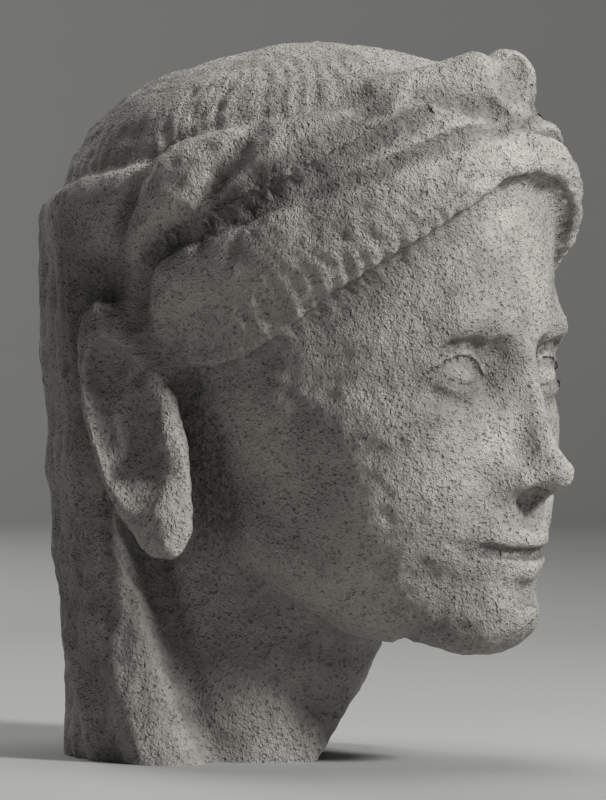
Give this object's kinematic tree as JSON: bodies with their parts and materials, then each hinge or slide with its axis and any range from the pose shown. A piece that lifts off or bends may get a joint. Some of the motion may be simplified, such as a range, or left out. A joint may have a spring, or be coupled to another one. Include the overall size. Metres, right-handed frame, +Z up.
{
  "type": "carved stone head",
  "caption": "Life-size limestone head with a hair roll, a knotted cloth band and hanging hair, broken through the neck and cut flat below.",
  "frame": {"origin": "centre of the flat resting face under the neck", "axes": "+Z up the head; the face looks along -Y; +X to the figure's left"},
  "size_m": [0.1896, 0.2492, 0.2967],
  "materials": {
    "limestone": "rough, porous and weathered, with fine pits and grain"
  },
  "bodies": {
    "root": {"limestone_head": "limestone"}
  },
  "joints": []
}
